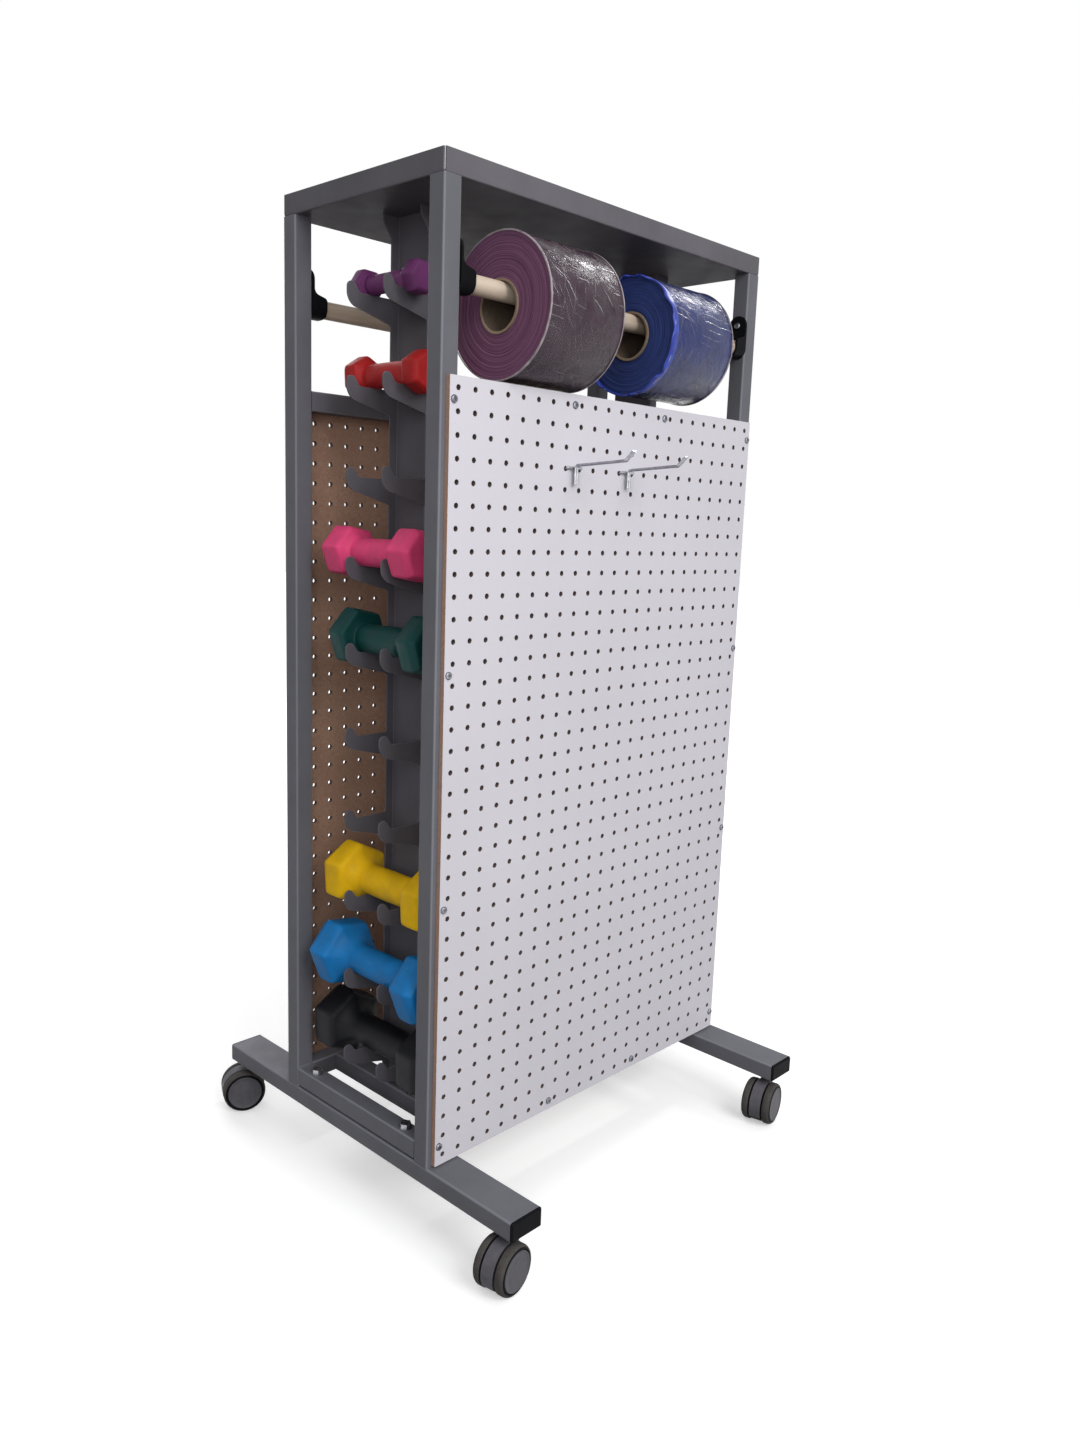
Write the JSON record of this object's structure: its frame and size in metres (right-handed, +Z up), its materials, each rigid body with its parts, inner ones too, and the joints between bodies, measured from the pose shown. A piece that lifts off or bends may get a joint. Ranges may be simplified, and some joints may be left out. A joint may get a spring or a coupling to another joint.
{
  "type": "mobile pegboard rack",
  "caption": "Mobile double-sided pegboard rack on casters, with hooked dumbbell columns in its ends, rods for band rolls and a tray top.",
  "frame": {"origin": "on the floor, under the middle of the frame", "axes": "+Z up, +X along the wide faces, -Y out of the front face"},
  "size_m": [0.6519, 0.6213, 1.2675],
  "materials": {
    "powder_coat": "satin powder coat, mid grey",
    "black_plastic": "moulded, satin",
    "hardboard": "white melamine on one face, bare brown hardboard on the back and edges",
    "zinc": "bright zinc plate",
    "wood_rod": "sanded, bare",
    "band_purple": "matte latex",
    "band_blue": "matte latex",
    "card_core": "wound card",
    "clear_film": "thin clear wrap",
    "dumbbell_purple_skin": "matte neoprene",
    "dumbbell_red_skin": "matte neoprene",
    "dumbbell_pink_skin": "matte neoprene",
    "dumbbell_green_skin": "matte neoprene",
    "dumbbell_yellow_skin": "matte neoprene",
    "dumbbell_blue_skin": "matte neoprene",
    "dumbbell_black_skin": "matte neoprene",
    "caster_grey": "moulded grey nylon",
    "caster_tread": "grey-brown soft tread with a grey hub cap"
  },
  "bodies": {
    "rack": {"caster_stems": "zinc", "cross_beam_left": "powder_coat", "cross_beam_right": "powder_coat", "dumbbell_column_left": "powder_coat", "dumbbell_column_right": "powder_coat", "end_rail_left": "powder_coat", "end_rail_right": "powder_coat", "hex_bolts": "zinc", "leg_end_caps": "black_plastic", "leg_left": "powder_coat", "leg_right": "powder_coat", "pan_head_screws": "zinc", "pegboard_back": "hardboard", "pegboard_front": "hardboard", "post_back_left": "powder_coat", "post_back_right": "powder_coat", "post_front_left": "powder_coat", "post_front_right": "powder_coat", "rail_bottom_back": "powder_coat", "rail_bottom_front": "powder_coat", "rail_top_back": "powder_coat", "rail_top_front": "powder_coat", "rod_bracket_back_left": "black_plastic", "rod_bracket_back_right": "black_plastic", "rod_bracket_front_left": "black_plastic", "rod_bracket_front_right": "black_plastic", "tray_top": "powder_coat"},
    "rod_front": {"rod_front": "wood_rod"},
    "rod_back": {"rod_back": "wood_rod"},
    "roll_purple": {"roll_purple_band": "band_purple", "roll_purple_core": "card_core", "roll_purple_film": "clear_film"},
    "roll_blue": {"roll_blue_band": "band_blue", "roll_blue_core": "card_core", "roll_blue_film": "clear_film"},
    "dumbbell_purple": {"dumbbell_purple": "dumbbell_purple_skin"},
    "dumbbell_red": {"dumbbell_red": "dumbbell_red_skin"},
    "dumbbell_pink": {"dumbbell_pink": "dumbbell_pink_skin"},
    "dumbbell_green": {"dumbbell_green": "dumbbell_green_skin"},
    "dumbbell_yellow": {"dumbbell_yellow": "dumbbell_yellow_skin"},
    "dumbbell_blue": {"dumbbell_blue": "dumbbell_blue_skin"},
    "dumbbell_black": {"dumbbell_black": "dumbbell_black_skin"},
    "peg_hook_left": {"peg_hook_left": "zinc"},
    "peg_hook_right": {"peg_hook_right": "zinc"},
    "caster_front_left": {"caster_front_left_housing": "caster_grey", "caster_front_left_axle": "zinc"},
    "caster_front_left_wheel_left": {"caster_front_left_wheel_left": "caster_tread"},
    "caster_front_left_wheel_right": {"caster_front_left_wheel_right": "caster_tread"},
    "caster_front_right": {"caster_front_right_housing": "caster_grey", "caster_front_right_axle": "zinc"},
    "caster_front_right_wheel_left": {"caster_front_right_wheel_left": "caster_tread"},
    "caster_front_right_wheel_right": {"caster_front_right_wheel_right": "caster_tread"},
    "caster_back_left": {"caster_back_left_housing": "caster_grey", "caster_back_left_axle": "zinc"},
    "caster_back_left_wheel_left": {"caster_back_left_wheel_left": "caster_tread"},
    "caster_back_left_wheel_right": {"caster_back_left_wheel_right": "caster_tread"},
    "caster_back_right": {"caster_back_right_housing": "caster_grey", "caster_back_right_axle": "zinc"},
    "caster_back_right_wheel_left": {"caster_back_right_wheel_left": "caster_tread"},
    "caster_back_right_wheel_right": {"caster_back_right_wheel_right": "caster_tread"}
  },
  "joints": [
    {"name": "rod_front_lift", "type": "slide", "parent": "rack", "child": "rod_front", "axis": [0, 0, 1], "range_m": [0, 0.016]},
    {"name": "rod_back_lift", "type": "slide", "parent": "rack", "child": "rod_back", "axis": [0, 0, 1], "range_m": [0, 0.016]},
    {"name": "roll_purple_spin", "type": "hinge", "parent": "rod_front", "child": "roll_purple", "pos_m": [0, -0.1375, 1.1233], "axis": [1, 0, 0], "continuous": true},
    {"name": "roll_blue_spin", "type": "hinge", "parent": "rod_front", "child": "roll_blue", "pos_m": [0, -0.1375, 1.1233], "axis": [1, 0, 0], "continuous": true},
    {"name": "dumbbell_purple_lift", "type": "slide", "parent": "rack", "child": "dumbbell_purple", "axis": [-0.866, 0, 0.5], "range_m": [0, 0.1]},
    {"name": "dumbbell_red_lift", "type": "slide", "parent": "rack", "child": "dumbbell_red", "axis": [-0.891, 0, 0.454], "range_m": [0, 0.1]},
    {"name": "dumbbell_pink_lift", "type": "slide", "parent": "rack", "child": "dumbbell_pink", "axis": [-0.6428, 0, 0.766], "range_m": [0, 0.12]},
    {"name": "dumbbell_green_lift", "type": "slide", "parent": "rack", "child": "dumbbell_green", "axis": [-0.829, 0, 0.5592], "range_m": [0, 0.11]},
    {"name": "dumbbell_yellow_lift", "type": "slide", "parent": "rack", "child": "dumbbell_yellow", "axis": [-0.866, 0, 0.5], "range_m": [0, 0.12]},
    {"name": "dumbbell_blue_lift", "type": "slide", "parent": "rack", "child": "dumbbell_blue", "axis": [-0.5299, 0, 0.848], "range_m": [0, 0.022]},
    {"name": "dumbbell_black_lift", "type": "slide", "parent": "rack", "child": "dumbbell_black", "axis": [-0.9205, 0, 0.3907], "range_m": [0, 0.115]},
    {"name": "peg_hook_left_tilt", "type": "hinge", "parent": "rack", "child": "peg_hook_left", "pos_m": [-0.0889, -0.153, 0.9618], "axis": [-1, 0, 0], "range_deg": [0, 60]},
    {"name": "peg_hook_right_tilt", "type": "hinge", "parent": "rack", "child": "peg_hook_right", "pos_m": [0.0127, -0.153, 0.9618], "axis": [-1, 0, 0], "range_deg": [0, 60]},
    {"name": "caster_front_left_swivel", "type": "hinge", "parent": "rack", "child": "caster_front_left", "pos_m": [-0.275, -0.2755, 0.06], "axis": [0, 0, 1], "continuous": true},
    {"name": "caster_front_left_wheel_left_spin", "type": "hinge", "parent": "caster_front_left", "child": "caster_front_left_wheel_left", "pos_m": [-0.29229, -0.27824, 0.0305], "axis": [-0.1564, 0.9877, 0], "continuous": true},
    {"name": "caster_front_left_wheel_right_spin", "type": "hinge", "parent": "caster_front_left", "child": "caster_front_left_wheel_right", "pos_m": [-0.29229, -0.27824, 0.0305], "axis": [-0.1564, 0.9877, 0], "continuous": true},
    {"name": "caster_front_right_swivel", "type": "hinge", "parent": "rack", "child": "caster_front_right", "pos_m": [0.275, -0.2755, 0.06], "axis": [0, 0, 1], "continuous": true},
    {"name": "caster_front_right_wheel_left_spin", "type": "hinge", "parent": "caster_front_right", "child": "caster_front_right_wheel_left", "pos_m": [0.25788, -0.27914, 0.0305], "axis": [-0.2079, 0.9781, 0], "continuous": true},
    {"name": "caster_front_right_wheel_right_spin", "type": "hinge", "parent": "caster_front_right", "child": "caster_front_right_wheel_right", "pos_m": [0.25788, -0.27914, 0.0305], "axis": [-0.2079, 0.9781, 0], "continuous": true},
    {"name": "caster_back_left_swivel", "type": "hinge", "parent": "rack", "child": "caster_back_left", "pos_m": [-0.275, 0.2755, 0.06], "axis": [0, 0, 1], "continuous": true},
    {"name": "caster_back_left_wheel_left_spin", "type": "hinge", "parent": "caster_back_left", "child": "caster_back_left_wheel_left", "pos_m": [-0.29086, 0.2829, 0.0305], "axis": [0.4226, 0.9063, 0], "continuous": true},
    {"name": "caster_back_left_wheel_right_spin", "type": "hinge", "parent": "caster_back_left", "child": "caster_back_left_wheel_right", "pos_m": [-0.29086, 0.2829, 0.0305], "axis": [0.4226, 0.9063, 0], "continuous": true},
    {"name": "caster_back_right_swivel", "type": "hinge", "parent": "rack", "child": "caster_back_right", "pos_m": [0.275, 0.2755, 0.06], "axis": [0, 0, 1], "continuous": true},
    {"name": "caster_back_right_wheel_left_spin", "type": "hinge", "parent": "caster_back_right", "child": "caster_back_right_wheel_left", "pos_m": [0.29229, 0.27276, 0.0305], "axis": [-0.1564, -0.9877, 0], "continuous": true},
    {"name": "caster_back_right_wheel_right_spin", "type": "hinge", "parent": "caster_back_right", "child": "caster_back_right_wheel_right", "pos_m": [0.29229, 0.27276, 0.0305], "axis": [-0.1564, -0.9877, 0], "continuous": true}
  ]
}
